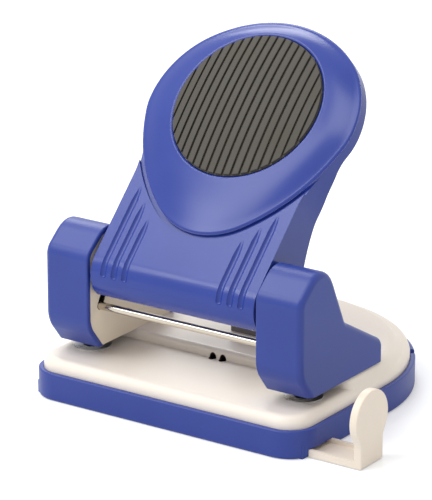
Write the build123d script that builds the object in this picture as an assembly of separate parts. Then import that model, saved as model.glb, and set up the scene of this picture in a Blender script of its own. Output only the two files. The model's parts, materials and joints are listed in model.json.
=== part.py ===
from build123d import *
import math
import os

# Two-hole desk punch: chip tray, pressed steel base, two punch columns, tilting handle, paper gauge.
# Millimetres. The origin is on the desk, midway between the two punch axes.
# X runs along the paper's edge, -Y is the side the paper goes in, +Z is up.

# Paper and holes
hole_spacing = 80.0
hole_margin = 12.0
punch_diameter = 6.0
throat_height = 3.3

# Chip tray
tray_width = 103.0
tray_front = 20.0
tray_round_centre = 32.0
tray_corner = 10.0
tray_height = 9.1
tray_wall = 1.5
tray_floor = 1.6
tray_foot_round = 1.0
tray_rim_round = 0.5
pry_angle = 36.0
pry_width = 3.6
pry_depth = 2.6
ledge_height = 4.9
ledge_width = 2.4

# Base plate, pressed from sheet with a raised deck behind the paper stop
table_level = 13.2
plate_sheet = 1.2
plate_gap = 0.2
plate_seat_gap = 0.1
plate_round = 2.9
deck_side_draw = 2.4
deck_round_centre = 26.0
deck_edge_round = 1.4
deck_overlap = 2.0
sight_hole_diameter = 2.4
sight_hole_spacing = 3.8
sight_hole_slope = 45.0

# Punch columns: side view of the cover, Y from the punch axes and Z from the deck
column_width = 16.5
column_inset = 8.5
foot_front = -8.0
column_front = -14.0
chin_height = 7.5
chin_round = 2.0
brow_height = 31.9
brow_round = 4.7
peak_y = 0.1
peak_height = 43.7
crown_round = 8.4
knee_y = 11.6
knee_height = 18.9
knee_round = 4.0
tail_back = 33.0
tail_height = 6.9
tail_round = 3.2
foot_drop = 8.0
cover_wall = 1.6
cover_outer_round = 2.0
cover_inner_round = 0.7
cover_gap = 0.3

# Bracket inside each column
bracket_inset = 0.5
bracket_sheet = 1.4
rivet_diameter = 3.0
rivet_head = 4.6
rivet_head_height = 1.1
rivet_setback = 4.2
rivet_spacing = 5.0
screw_diameter = 3.0
screw_head = 5.4
screw_head_height = 1.8
screw_setback = 6.1
screw_boss = 6.4
screw_depth = 5.0

# Punch, guide bush, die and return spring on each axis
bore_fit = 0.05
press_fit = 0.01
bush_diameter = 10.4
bush_spigot = 8.4
bush_top = 7.5
die_diameter = 12.0
die_flange = 0.4
die_spigot = 9.0
die_depth = 2.4
punch_rest = 0.5
punch_head = 10.0
punch_head_height = 2.5
spring_wire = 0.9
spring_outer = 9.2
spring_turns = 7.0
spring_seat_gap = 0.05

# Handle hinge and press bar
nose_y = -10.2
nose_height = 25.7
nose_radius = 5.0
nose_round = 9.0
hinge_set_back = 1.2
axle_diameter = 4.0
axle_end = 3.4
clip_diameter = 6.2
clip_thickness = 0.6
clip_bite = 0.6
clip_gap = 0.05
stroke_angle = 50.0
press_bar_diameter = 5.0
press_bar_end = 4.0
press_gap = 0.1
window_gap = 0.5

# Lock bar in its slots
lock_diameter = 2.5
lock_y = -6.7
lock_height = 13.5
lock_travel = 3.0
lock_lean = 28.0
lock_gap = 0.1
lock_overhang = 1.8
lock_clip_diameter = 4.6

# Handle: along runs up its front face from the nose, depth is behind the nose's centre
handle_lean = 45.0
handle_gap = 1.0
handle_wall = 2.4
handle_edge_round = 1.4
cheek_round = 28.0
waist_along = 40.0
waist_depth = 7.2
waist_round = 12.0
flare_along = 52.0
flare_round = 8.0
calf_along = 28.0
calf_depth = 9.9
heel_along = 15.8
heel_depth = 16.1
lip_depth = 6.0
lip_round = 1.5
belly_along = 7.1
belly_depth = 8.6
hollow_start = 3.2
rib_spacing = 8.0
rib_count = 6
rib_thickness = 2.0
rib_reach = 56.0
flute_width = 1.7
flute_depth = 0.6
flute_start = -1.2
flute_inset = 12.8
flute_pitch = 4.0
flute_inner_end = 21.1
flute_step = 5.2
flute_count = 3

# Head of the handle and its grip
head_width = 75.8
head_bottom = 17.8
head_centre = 61.5
head_top = 94.6
head_low_x = 15.0
head_low_along = 22.9
head_cheek_x = 35.0
head_cheek_along = 49.6
head_skirt = 4.0
head_rise = 3.4
head_groove = 1.4
head_groove_depth = 0.9
grip_centre = 62.3
grip_radius = 25.3
grip_rim = 1.3
grip_seat = 1.6
grip_proud = 2.6
grip_crown = 176.0
grip_fit = 0.05
grip_pitch = 2.89
grip_grooves = 17
grip_groove_width = 0.8
grip_groove_depth = 0.8

# Stop block behind the handle
stop_width = 13.2
stop_y = 28.0
stop_depth = 8.0
stop_gap = 0.2
stop_edge_round = 1.2
stop_screw_spacing = 6.4

# Paper gauge
gauge_y = -7.3
gauge_width = 12.4
gauge_lift = 0.3
gauge_bar_height = 2.3
gauge_bar_wall = 1.2
gauge_bar_floor = 1.0
gauge_reach = 66.9
gauge_length = 105.0
gauge_tab = 2.6
gauge_disc_radius = 8.9
gauge_disc_height = 15.0
gauge_neck_round = 5.0
gauge_edge_round = 0.5
gauge_fit = 0.15
gauge_lug = 0.6
gauge_lug_length = 5.0
gauge_lug_height = 0.8
gauge_lug_lift = 0.8
channel_wall = 1.5
channel_roof = 1.4
channel_stop = 2.7

# Levels and places that follow from the sizes above
punch_x = hole_spacing / 2
column_inner_gap = punch_x - column_inset
deck_level = table_level + throat_height
plate_inset = tray_wall + plate_gap
skirt_bottom = ledge_height + plate_seat_gap
wall_top = table_level - plate_round
plate_inner_x = column_inner_gap + bracket_inset
web_top = deck_level + bracket_sheet
nose_z = deck_level + nose_height
hinge_y = nose_y + hinge_set_back
half_stroke = math.radians(stroke_angle / 2)
press_radius = -hinge_y / math.cos(half_stroke)
punch_travel = 2 * press_radius * math.sin(half_stroke)
press_z = nose_z + press_radius * math.sin(half_stroke)
punch_top = press_z - press_bar_diameter / 2 - press_gap
punch_tip = deck_level + punch_rest
head_under = punch_top - punch_head_height
bush_level = web_top + bush_top - bracket_sheet
deck_inside = tray_width / 2 - plate_inset - plate_sheet - deck_side_draw
fixing_x = (plate_inner_x + bracket_sheet + deck_inside) / 2
rivet_y = hole_margin + rivet_setback
screw_y = rivet_y + rivet_spacing + screw_setback
handle_half = column_inner_gap - handle_gap
flute_inner_x = handle_half - flute_inset
lean = math.radians(handle_lean)
big = 400.0

face_up = (0, math.sin(lean), math.cos(lean))
face_out = (0, -math.cos(lean), math.sin(lean))
side_frame = Plane(origin=(0, nose_y, nose_z), x_dir=face_up, z_dir=(1, 0, 0))
face_frame = Plane(origin=(0, nose_y, nose_z), x_dir=(1, 0, 0), z_dir=face_out)


def block(x0, x1, y0, y1, z0, z1):
    centre = Pos((x0 + x1) / 2, (y0 + y1) / 2, (z0 + z1) / 2)
    return centre * Box(x1 - x0, y1 - y0, z1 - z0)


def disc(x, y, z0, z1, diameter):
    return Pos(x, y, (z0 + z1) / 2) * Cylinder(diameter / 2, z1 - z0)


def rod(x0, x1, y, z, diameter):
    return Pos((x0 + x1) / 2, y, z) * Rot(0, 90, 0) * Cylinder(diameter / 2, x1 - x0)


def across(sketch, x0, x1):
    # A side view, drawn with Y across and Z up, pushed along X
    return extrude(Plane.YZ.offset(x0) * sketch, x1 - x0)


def mirrored(shape):
    return mirror(shape, Plane.YZ)


def base_outline(inset, back=None):
    # Straight sides, rounded front corners and a half-round rear, or a straight rear at back
    half = tray_width / 2 - inset
    front = inset - tray_front
    corner = tray_corner - inset
    side_end = tray_round_centre if back is None else back
    right = Line((half, front + corner), (half, side_end))
    if back is None:
        rear = ThreePointArc((half, side_end), (0, side_end + half), (-half, side_end))
    else:
        rear = Line((half, side_end), (-half, side_end))
    left = Line((-half, side_end), (-half, front + corner))
    left_corner = TangentArc(left @ 1, (corner - half, front), tangent=left % 1)
    front_edge = Line((corner - half, front), (half - corner, front))
    right_corner = TangentArc(front_edge @ 1, right @ 0, tangent=front_edge % 1)
    return make_face([right, rear, left, left_corner, front_edge, right_corner])


def deck_outline(half, centre, front):
    right = Line((half, front), (half, centre))
    rear = ThreePointArc((half, centre), (0, centre + half), (-half, centre))
    left = Line((-half, centre), (-half, front))
    return make_face([right, rear, left, Line((-half, front), (half, front))])


def gauge_channel(clearance, height):
    half = gauge_width / 2 + clearance
    return block(-big, big, gauge_y - half, gauge_y + half, -big, height)


# Chip tray with a ledge that the plate stands on and a channel below for the gauge
def chip_tray():
    body = extrude(base_outline(0), tray_height)
    body = fillet(body.edges().group_by(Axis.Z)[0], tray_foot_round)
    body = fillet(body.edges().group_by(Axis.Z)[-1], tray_rim_round)
    upper = extrude(Pos(0, 0, ledge_height) * base_outline(tray_wall), tray_height)
    lower = extrude(Pos(0, 0, tray_floor) * base_outline(tray_wall + ledge_width), tray_height)
    body = body - upper - lower
    channel_top = gauge_lift + gauge_bar_height + gauge_fit
    inner = tray_width / 2 - tray_wall
    half = gauge_width / 2 + gauge_fit + gauge_lug + channel_wall
    body += block(-inner, inner, gauge_y - half, gauge_y + half, 0, channel_top + channel_roof)
    body -= gauge_channel(gauge_fit, channel_top)
    lug_half = gauge_width / 2 + gauge_lug + gauge_fit
    lug_low = gauge_lift + gauge_lug_lift - gauge_fit
    lug_high = gauge_lift + gauge_lug_lift + gauge_lug_height + gauge_fit
    lug_end = tray_width / 2 - channel_stop
    body -= block(-big, lug_end, gauge_y - lug_half, gauge_y + lug_half, lug_low, lug_high)
    pry = block(inner - tray_wall, big, -pry_width / 2, pry_width / 2, tray_height - pry_depth, big)
    for angle in (pry_angle, 180 - pry_angle):
        body -= Pos(0, tray_round_centre, 0) * Rot(0, 0, angle) * pry
    return body


def plate_form(shrink):
    # Outside of the plate, or its inside when shrunk by the sheet
    inset = plate_inset + shrink
    half = tray_width / 2 - inset
    low = skirt_bottom if shrink == 0 else 0
    top = table_level - shrink
    form = extrude(Pos(0, 0, low) * base_outline(inset), wall_top - low)
    table_back = hole_margin + deck_overlap
    table = extrude(Pos(0, 0, wall_top) * base_outline(inset, table_back), top - wall_top)
    rim = table.edges().group_by(Axis.Z)[-1].filter_by(lambda e: e.center().Y < hole_margin)
    table = fillet(rim, plate_round - shrink - 0.05)
    front = hole_margin + shrink
    foot = Pos(0, 0, wall_top) * deck_outline(half, tray_round_centre, front)
    crest = deck_outline(half - deck_side_draw, deck_round_centre, front)
    deck = loft([foot, Pos(0, 0, deck_level - shrink) * crest], ruled=True)
    if shrink == 0:
        deck = fillet(deck.edges().group_by(Axis.Z)[-1], deck_edge_round)
    return form + table + deck


def fixing_places():
    return [(fixing_x, rivet_y), (fixing_x, rivet_y + rivet_spacing)]


def stop_screw_place(side):
    return (side * stop_screw_spacing / 2, stop_y + stop_depth / 2)


# Base plate: paper table, stop step and deck in one pressed sheet
def base_plate():
    plate = plate_form(0) - plate_form(plate_sheet)
    for side in (1, -1):
        plate -= disc(side * punch_x, 0, 0, big, die_spigot + 2 * press_fit)
        plate -= disc(side * fixing_x, screw_y, 0, big, screw_diameter + 2 * press_fit)
        for x, y in fixing_places():
            plate -= disc(side * x, y, 0, big, rivet_diameter + 2 * press_fit)
        sight = Rot(sight_hole_slope, 0, 0) * Cylinder(sight_hole_diameter / 2, 2 * table_level)
        plate -= Pos(side * sight_hole_spacing / 2, hole_margin, table_level) * sight
        x, y = stop_screw_place(side)
        plate -= disc(x, y, 0, big, screw_diameter + 2 * press_fit)
    return plate


# Side view of a column cover, carried down below the deck so that it can be trimmed there
def column_profile():
    foot = deck_level - foot_drop
    lean_in = (foot_front - column_front) / chin_height
    toe = (foot_front + foot_drop * lean_in, foot)
    chin = (column_front, deck_level + chin_height)
    brow = (column_front, deck_level + brow_height)
    peak = (peak_y, deck_level + peak_height)
    knee = (knee_y, deck_level + knee_height)
    tail = (tail_back, deck_level + tail_height)
    rounds = [chin_round, brow_round, crown_round, knee_round, tail_round]
    outline = FilletPolyline(toe, chin, brow, peak, knee, tail, (tail_back, foot), radius=rounds)
    return make_face([outline, Line((tail_back, foot), toe)])


def above(level):
    return block(-big, big, -big, big, level, big)


def column_cover():
    x0 = column_inner_gap
    x1 = column_inner_gap + column_width
    profile = column_profile()
    shell = across(profile, x0, x1)
    shell = fillet(shell.edges().group_by(Axis.X)[-1], cover_outer_round)
    shell = fillet(shell.edges().group_by(Axis.X)[0], cover_inner_round)
    hollow = across(offset(profile, -cover_wall), x0 - cover_wall, x1 - cover_wall)
    boss = disc(fixing_x, screw_y, web_top, deck_level + knee_height, screw_boss) & across(profile, x0, x1)
    cover = (shell - hollow + boss) & above(deck_level)
    screw_end = web_top + screw_depth + press_fit
    return cover - disc(fixing_x, screw_y, 0, screw_end, screw_diameter + 2 * press_fit)


def hinge_arc():
    sweep_angle = stroke_angle + 2 * math.degrees(window_gap / press_radius)
    return CenterArc((hinge_y, nose_z), press_radius, -sweep_angle / 2, sweep_angle)


def lock_slot():
    angle = math.radians(lock_lean)
    centre_y = lock_y + math.sin(angle) * lock_travel / 2
    centre_z = deck_level + lock_height + math.cos(angle) * lock_travel / 2
    slot = SlotCenterToCenter(lock_travel, lock_diameter + 2 * lock_gap, rotation=90 - lock_lean)
    return Pos(centre_y, centre_z) * slot


# Bracket: upright side plate with a foot that carries the bush and is riveted to the deck
def bracket():
    x0 = plate_inner_x
    x1 = plate_inner_x + bracket_sheet
    inner = offset(column_profile(), -(cover_wall + cover_gap))
    plate = across(inner, x0, x1) & above(deck_level)
    far = column_inner_gap + column_width - cover_wall - cover_gap
    foot = across(inner, x1, far) & above(deck_level) & block(-big, big, -big, big, 0, web_top)
    body = plate + foot
    body -= rod(x0 - 1, x1 + 1, hinge_y, nose_z, axle_diameter + 2 * press_fit)
    body -= across(SlotArc(hinge_arc(), press_bar_diameter + 2 * window_gap), x0 - 1, x1 + 1)
    body -= across(lock_slot(), x0 - 1, x1 + 1)
    body -= disc(punch_x, 0, 0, big, bush_spigot + 2 * press_fit)
    body -= disc(fixing_x, screw_y, 0, big, screw_diameter + 2 * press_fit)
    for x, y in fixing_places():
        body -= disc(x, y, 0, big, rivet_diameter + 2 * press_fit)
    return body


def guide_bush():
    bush = disc(punch_x, 0, web_top, bush_level, bush_diameter)
    bush += disc(punch_x, 0, deck_level, web_top, bush_spigot)
    return bush - disc(punch_x, 0, 0, big, punch_diameter + 2 * bore_fit)


def die():
    ring = disc(punch_x, 0, table_level, table_level + die_flange, die_diameter)
    ring += disc(punch_x, 0, table_level - die_depth, table_level, die_spigot)
    return ring - disc(punch_x, 0, 0, big, punch_diameter + 2 * bore_fit)


def punch():
    pin = disc(punch_x, 0, punch_tip, punch_top, punch_diameter)
    return pin + disc(punch_x, 0, head_under, punch_top, punch_head)


# Two arcs that leave one point along a given way and reach another along its own
def two_arcs(start, start_way, end, end_way):
    chord = end - start
    along = chord.dot(start_way + end_way)
    spread = 2 * (1 - start_way.dot(end_way))
    reach = (math.sqrt(along * along + spread * chord.dot(chord)) - along) / spread
    joint = (start + start_way * reach + end - end_way * reach) / 2
    first = TangentArc(start, joint, tangent=start_way)
    return [first, TangentArc(joint, end, tangent=first % 1)]


def coil_path(low, high, radius, turns):
    half_turns = round(2 * turns)
    rise = (high - low) / half_turns
    slope = rise / (math.pi * radius)
    points = []
    ways = []
    for step in range(half_turns + 1):
        angle = math.pi * step
        points.append(Vector(radius * math.cos(angle), radius * math.sin(angle), low + rise * step))
        ways.append(Vector(-math.sin(angle), math.cos(angle), slope).normalized())
    arcs = []
    for step in range(half_turns):
        arcs += two_arcs(points[step], ways[step], points[step + 1], ways[step + 1])
    print("spring least gap between turns", round(2 * rise - spring_wire, 2))
    return Wire(arcs)


def spring():
    low = bush_level + spring_seat_gap + spring_wire / 2
    high = head_under - spring_seat_gap - spring_wire / 2
    path = coil_path(low, high, (spring_outer - spring_wire) / 2, spring_turns)
    wire_end = Plane(origin=path @ 0, z_dir=path % 0)
    return Pos(punch_x, 0, 0) * sweep(wire_end * Circle(spring_wire / 2), path)


def rivets():
    pieces = []
    for side in (1, -1):
        for x, y in fixing_places():
            pin = disc(side * x, y, deck_level - plate_sheet, web_top, rivet_diameter)
            pin += disc(side * x, y, web_top, web_top + rivet_head_height, rivet_head)
            low = deck_level - plate_sheet
            pieces.append(pin + disc(side * x, y, low - rivet_head_height, low, rivet_head))
    return Compound(pieces)


def screw(x, y, top):
    low = deck_level - plate_sheet
    return disc(x, y, low - screw_head_height, low, screw_head) + disc(x, y, low, top, screw_diameter)


def cover_screws():
    top = web_top + screw_depth
    return Compound([screw(fixing_x, screw_y, top), screw(-fixing_x, screw_y, top)])


# Hinge axle through both brackets, with a spring clip outside each
def clip_ring(side, y, z, bar, outer):
    x0 = plate_inner_x + bracket_sheet + clip_gap
    start = x0 if side > 0 else -x0 - clip_thickness
    ring = rod(start, start + clip_thickness, y, z, outer)
    return ring - rod(start, start + clip_thickness, y, z, bar - clip_bite)


def clipped_bar(end, y, z, diameter):
    bar = rod(-end, end, y, z, diameter)
    for side in (1, -1):
        bar -= clip_ring(side, y, z, diameter, diameter + 1)
    return bar


def clip_pair(y, z, diameter, outer):
    return Compound([clip_ring(1, y, z, diameter, outer), clip_ring(-1, y, z, diameter, outer)])


def pivot_axle():
    end = plate_inner_x + bracket_sheet + axle_end
    return clipped_bar(end, hinge_y, nose_z, axle_diameter)


def axle_clips():
    return clip_pair(hinge_y, nose_z, axle_diameter, clip_diameter)


def press_bar():
    end = punch_x + press_bar_end
    return rod(-end, end, 0, press_z, press_bar_diameter)


def lock_bar():
    end = plate_inner_x + bracket_sheet + lock_overhang
    return clipped_bar(end, lock_y, deck_level + lock_height, lock_diameter)


def lock_bar_clips():
    return clip_pair(lock_y, deck_level + lock_height, lock_diameter, lock_clip_diameter)


# Side view of the handle: round nose, flat front, arched rear edge that flares out to the head
def handle_profile():
    skirt = nose_radius - head_skirt
    far = head_top + head_skirt
    waist = (waist_along, -waist_depth)
    lip = (-nose_radius, -lip_depth)
    soft = nose_round - nose_radius
    nose = CenterArc((soft, -soft), nose_round, 90, 90)
    belly = Polyline((-nose_radius, -soft), lip, (belly_along, -belly_depth), (heel_along, -heel_depth))
    calf = ThreePointArc((heel_along, -heel_depth), (calf_along, -calf_depth), waist)
    flare = Polyline(waist, (flare_along, skirt), (far, skirt), (far, nose_radius), (soft, nose_radius))
    profile = make_face([nose, belly, calf, flare])
    profile = fillet(profile.vertices().sort_by_distance(lip)[0], lip_round)
    profile = fillet(profile.vertices().sort_by_distance(waist)[0], waist_round)
    return fillet(profile.vertices().sort_by_distance((flare_along, skirt))[0], flare_round)


def along_box(x_half, along0, along1, depth0, depth1):
    # A box in the handle's own frame
    middle = Pos(0, (along0 + along1) / 2, (depth0 + depth1) / 2)
    return face_frame * (middle * Box(2 * x_half, along1 - along0, depth1 - depth0))


def head_arcs():
    # Right half from the bottom to the top, then the left half back down
    low = Vector(0, head_bottom)
    dip = Vector(head_low_x, head_low_along)
    cheek = Vector(head_cheek_x, head_cheek_along)
    side = Vector(head_width / 2, head_centre)
    top = Vector(0, head_top)
    right = [TangentArc(low, dip, tangent=(1, 0))]
    right.append(TangentArc(dip, cheek, tangent=right[0] % 1))
    right += two_arcs(cheek, right[1] % 1, side, Vector(0, 1))
    right += two_arcs(side, Vector(0, 1), top, Vector(-1, 0))
    left = []
    for arc in reversed(right):
        points = [(-point.X, point.Y) for point in (arc @ 1, arc @ 0.5, arc @ 0)]
        left.append(ThreePointArc(*points))
    return right + left


def head_outline(level):
    return Pos(0, 0, level) * Face(Wire(head_arcs()))


def grip_ring(radius, level):
    # A circle cut at the same directions as the head's outline, to join the two
    ways = [math.degrees(math.atan2((arc @ 0).Y - grip_centre, (arc @ 0).X)) for arc in head_arcs()]
    turns = [(after - before) % 360 for before, after in zip(ways, ways[1:] + ways[:1])]
    centre = (0, grip_centre)
    arcs = [CenterArc(centre, radius, start, turn) for start, turn in zip(ways, turns)]
    return Pos(0, 0, level) * Face(Wire(arcs))


def grip_disc(radius, level, height):
    return extrude(Pos(0, grip_centre, level) * Circle(radius), height)


def flutes():
    cuts = []
    for number in range(flute_count):
        end = flute_inner_end + flute_step * number
        length = end - flute_start - flute_width
        for side in (1, -1):
            x = side * (flute_inner_x + flute_pitch * number)
            place = Pos(x, (end + flute_start) / 2, nose_radius - flute_depth)
            slot = place * SlotCenterToCenter(length, flute_width, rotation=90)
            cuts.append(face_frame * extrude(slot, flute_width))
    return cuts


# Handle seen on its face: a straight body that runs up into the oval head
def handle_plan():
    straight = Rectangle(2 * handle_half, head_centre + big)
    plan = head_outline(0) + Pos(0, (head_centre - big) / 2) * straight
    cheeks = plan.vertices().filter_by(lambda v: 0 < v.Y < head_centre and abs(v.X) < handle_half + 0.01)
    return fillet(cheeks, cheek_round)


def handle_body():
    upright = face_frame * extrude(Pos(0, 0, -big / 2) * handle_plan(), big)
    body = extrude(side_frame * handle_profile(), head_width, both=True) & upright
    side_edges = body.edges().filter_by(lambda e: abs(abs(e.center().X) - handle_half) < 0.01)
    front_edges = side_edges.filter_by(lambda e: side_frame.to_local_coords(e.center()).Y > 0)
    return fillet(front_edges, handle_edge_round)


# Handle moulding: ribbed body, oval head with a raised face and a pocket for the grip
def handle_shell():
    profile = side_frame * handle_profile()
    outline = head_outline(0)
    band = offset(outline, head_groove) - outline
    groove = extrude(Pos(0, 0, nose_radius - head_groove_depth) * band, head_groove_depth + 1)
    shell = handle_body() - face_frame * groove
    body_inside = Pos(0, head_centre / 2) * Rectangle(2 * (handle_half - handle_wall), head_centre)
    inside = offset(outline, -handle_wall) + body_inside
    hollow = extrude(Pos(0, 0, nose_radius - handle_wall) * inside, -big)
    shell -= face_frame * hollow & along_box(big, hollow_start, big, -big, big)
    rib_front = nose_radius - handle_wall / 2
    rib = extrude(profile, rib_thickness / 2, both=True) & along_box(big, 0, rib_reach, -big, rib_front)
    for number in range(rib_count):
        shell += Pos((number - (rib_count - 1) / 2) * rib_spacing, 0, 0) * rib
    top = nose_radius + head_rise
    floor = nose_radius - handle_wall / 2
    dome = loft([head_outline(floor), head_outline(nose_radius)], ruled=True)
    dome += loft([head_outline(nose_radius), grip_ring(grip_radius + grip_rim, top)], ruled=True)
    dome -= grip_disc(grip_radius + grip_fit, top - grip_seat, big)
    shell += face_frame * dome
    for cut in flutes():
        shell -= cut
    shell -= rod(-big, big, hinge_y, nose_z, axle_diameter + 2 * bore_fit)
    return shell - rod(-big, big, 0, press_z, press_bar_diameter + 2 * press_fit)


# Grip: a domed rubber pad with straight grooves
def grip_pad():
    rim = nose_radius + head_rise
    middle = Pos(0, grip_centre, rim + grip_proud - grip_crown)
    pad = grip_disc(grip_radius, rim - grip_seat, grip_seat + grip_proud) & middle * Sphere(grip_crown)
    under = middle * Sphere(grip_crown - grip_groove_depth)
    half = grip_groove_width / 2
    for number in range(grip_grooves):
        x = (number - (grip_grooves - 1) / 2) * grip_pitch
        pad -= block(x - half, x + half, 0, head_top, rim, rim + 2 * grip_proud) - under
    return face_frame * pad


def pressed_underside(y):
    # Height of the handle's rear edge over y when the handle is right down
    turn = math.radians(stroke_angle)
    ends = []
    for along, depth in ((calf_along, calf_depth), (waist_along, waist_depth)):
        back = nose_y + along * math.sin(lean) + depth * math.cos(lean) - hinge_y
        up = along * math.cos(lean) - depth * math.sin(lean)
        end_y = hinge_y + back * math.cos(turn) + up * math.sin(turn)
        ends.append((end_y, nose_z - back * math.sin(turn) + up * math.cos(turn)))
    (y0, z0), (y1, z1) = ends
    return z0 + (y - y0) * (z1 - z0) / (y1 - y0)


# Stop block that the handle's ribs come down to, held by two screws from below
def handle_stop():
    half = stop_width / 2
    top = pressed_underside(stop_y) - stop_gap
    block_form = block(-half, half, stop_y, stop_y + stop_depth, deck_level, top)
    upright = block_form.edges().filter_by(Axis.Z)
    block_form = fillet(upright, stop_edge_round)
    for side in (1, -1):
        x, y = stop_screw_place(side)
        screw_end = deck_level + screw_depth + press_fit
        block_form -= disc(x, y, 0, screw_end, screw_diameter + 2 * press_fit)
    return block_form


def stop_screws():
    pieces = []
    for side in (1, -1):
        x, y = stop_screw_place(side)
        pieces.append(screw(x, y, deck_level + screw_depth))
    return Compound(pieces)


# Paper gauge: grooved bar under the tray with an upright rounded tab
def paper_gauge():
    start = gauge_reach - gauge_length
    low = gauge_lift
    high = gauge_lift + gauge_bar_height
    half = gauge_width / 2
    bar = block(start, gauge_reach, gauge_y - half, gauge_y + half, low, high)
    trough = half - gauge_bar_wall
    bar -= block(start - 1, gauge_reach, gauge_y - trough, gauge_y + trough, low + gauge_bar_floor, big)
    lug_low = low + gauge_lug_lift
    lug_half = half + gauge_lug
    lug_end = start + gauge_lug_length
    lug_top = lug_low + gauge_lug_height
    lugs = block(start, lug_end, gauge_y - lug_half, gauge_y + lug_half, lug_low, lug_top)
    lugs -= block(start - 1, big, gauge_y - trough, gauge_y + trough, low + gauge_bar_floor, big)
    bar += lugs
    neck = Pos(gauge_y, (low + gauge_disc_height) / 2) * Rectangle(gauge_width, gauge_disc_height - low)
    tab_face = neck + Pos(gauge_y, gauge_disc_height) * Circle(gauge_disc_radius)
    waist = tab_face.vertices().filter_by(lambda v: low + 0.1 < v.Y < gauge_disc_height)
    tab_face = fillet(waist, gauge_neck_round)
    tab = across(tab_face, gauge_reach, gauge_reach + gauge_tab)
    tab = fillet(tab.edges().group_by(Axis.X)[-1], gauge_edge_round)
    return bar + tab


os.makedirs("parts", exist_ok=True)
right_side = {
    "die": die(),
    "bracket": bracket(),
    "column_cover": column_cover(),
    "guide_bush": guide_bush(),
    "punch": punch(),
    "spring": spring(),
}
nodes = {
    "chip_tray": chip_tray(),
    "base_plate": base_plate(),
    "bracket_rivets": rivets(),
    "cover_screws": cover_screws(),
    "pivot_axle": pivot_axle(),
    "axle_clips": axle_clips(),
    "press_bar": press_bar(),
    "lock_bar": lock_bar(),
    "lock_bar_clips": lock_bar_clips(),
    "handle_shell": handle_shell(),
    "grip_pad": grip_pad(),
    "handle_stop": handle_stop(),
    "stop_screws": stop_screws(),
    "paper_gauge": paper_gauge(),
}
for name, shape in right_side.items():
    nodes["right_" + name] = shape
    nodes["left_" + name] = mirrored(shape)
for name, shape in nodes.items():
    export_step(Compound(shape.solids()), os.path.join("parts", name + ".step"))
print("punch travel", round(punch_travel, 4), "hinge", round(hinge_y, 3), round(nose_z, 3))
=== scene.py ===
import bpy
import bmesh
import json
import math
from mathutils import Matrix, Vector


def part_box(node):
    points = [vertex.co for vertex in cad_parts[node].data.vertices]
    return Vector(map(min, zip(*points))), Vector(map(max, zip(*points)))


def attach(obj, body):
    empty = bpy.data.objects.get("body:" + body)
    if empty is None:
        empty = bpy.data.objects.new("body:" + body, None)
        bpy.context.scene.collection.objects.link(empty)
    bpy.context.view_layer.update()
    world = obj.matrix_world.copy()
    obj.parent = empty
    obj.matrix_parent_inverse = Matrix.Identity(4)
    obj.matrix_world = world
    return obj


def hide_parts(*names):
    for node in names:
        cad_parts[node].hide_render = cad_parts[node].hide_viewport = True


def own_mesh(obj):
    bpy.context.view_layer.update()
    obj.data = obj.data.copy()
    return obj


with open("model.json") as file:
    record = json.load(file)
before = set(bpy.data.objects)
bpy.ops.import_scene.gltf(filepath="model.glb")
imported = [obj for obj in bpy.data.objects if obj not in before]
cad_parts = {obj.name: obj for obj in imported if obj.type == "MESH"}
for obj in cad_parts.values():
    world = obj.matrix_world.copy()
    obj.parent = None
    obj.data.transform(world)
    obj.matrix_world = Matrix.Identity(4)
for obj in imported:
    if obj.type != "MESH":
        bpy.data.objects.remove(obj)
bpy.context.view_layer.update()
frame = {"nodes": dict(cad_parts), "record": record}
# pieces are shaped in millimetres and scaled to metres when they are settled
mm = 0.001
noiseSet = {"span": (0.3, 0.7), "toneDetail": 3.0, "grainDetail": 2.0}


def newMaterial(name):
    material = bpy.data.materials.new(name)
    material.use_nodes = True
    nodes = material.node_tree.nodes
    return material, nodes, material.node_tree.links, nodes["Principled BSDF"]


def noiseOn(nodes, links, scale, detail, stretch):
    coords = nodes.new("ShaderNodeTexCoord")
    mapping = nodes.new("ShaderNodeMapping")
    mapping.inputs["Scale"].default_value = stretch
    noise = nodes.new("ShaderNodeTexNoise")
    noise.inputs["Scale"].default_value = scale
    noise.inputs["Detail"].default_value = detail
    links.new(coords.outputs["Object"], mapping.inputs["Vector"])
    links.new(mapping.outputs["Vector"], noise.inputs["Vector"])
    return noise.outputs["Fac"]


def ramp(nodes, links, source, low, high):
    node = nodes.new("ShaderNodeValToRGB")
    stops = zip(node.color_ramp.elements, noiseSet["span"], (low, high))
    for element, place, colour in stops:
        element.position = place
        element.color = colour
    links.new(source, node.inputs["Fac"])
    return node.outputs["Color"]


def spread(nodes, links, source, low, high):
    node = nodes.new("ShaderNodeMapRange")
    node.inputs["From Min"].default_value = noiseSet["span"][0]
    node.inputs["From Max"].default_value = noiseSet["span"][1]
    node.inputs["To Min"].default_value = low
    node.inputs["To Max"].default_value = high
    links.new(source, node.inputs["Value"])
    return node.outputs["Result"]


def bumpFrom(nodes, links, source, shader, strength, distance):
    node = nodes.new("ShaderNodeBump")
    node.inputs["Strength"].default_value = strength
    node.inputs["Distance"].default_value = distance
    links.new(source, node.inputs["Height"])
    links.new(node.outputs["Normal"], shader.inputs["Normal"])


def finishMaterial(look):
    # broad patches vary colour and gloss, a fine grain gives the surface its bump
    material, nodes, links, shader = newMaterial(look["name"])
    stretch = look.get("stretch", (1, 1, 1))
    tone = noiseOn(nodes, links, look["patch"], noiseSet["toneDetail"], stretch)
    colour = ramp(nodes, links, tone, look["dark"], look["light"])
    links.new(colour, shader.inputs["Base Color"])
    links.new(spread(nodes, links, tone, *look["rough"]), shader.inputs["Roughness"])
    grain = noiseOn(nodes, links, look["grain"], noiseSet["grainDetail"], stretch)
    bumpFrom(nodes, links, grain, shader, look["bump"], look["depth"])
    shader.inputs["Metallic"].default_value = look.get("metal", 0.0)
    shader.inputs["Specular IOR Level"].default_value = look.get("specular", 0.5)
    return material


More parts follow.
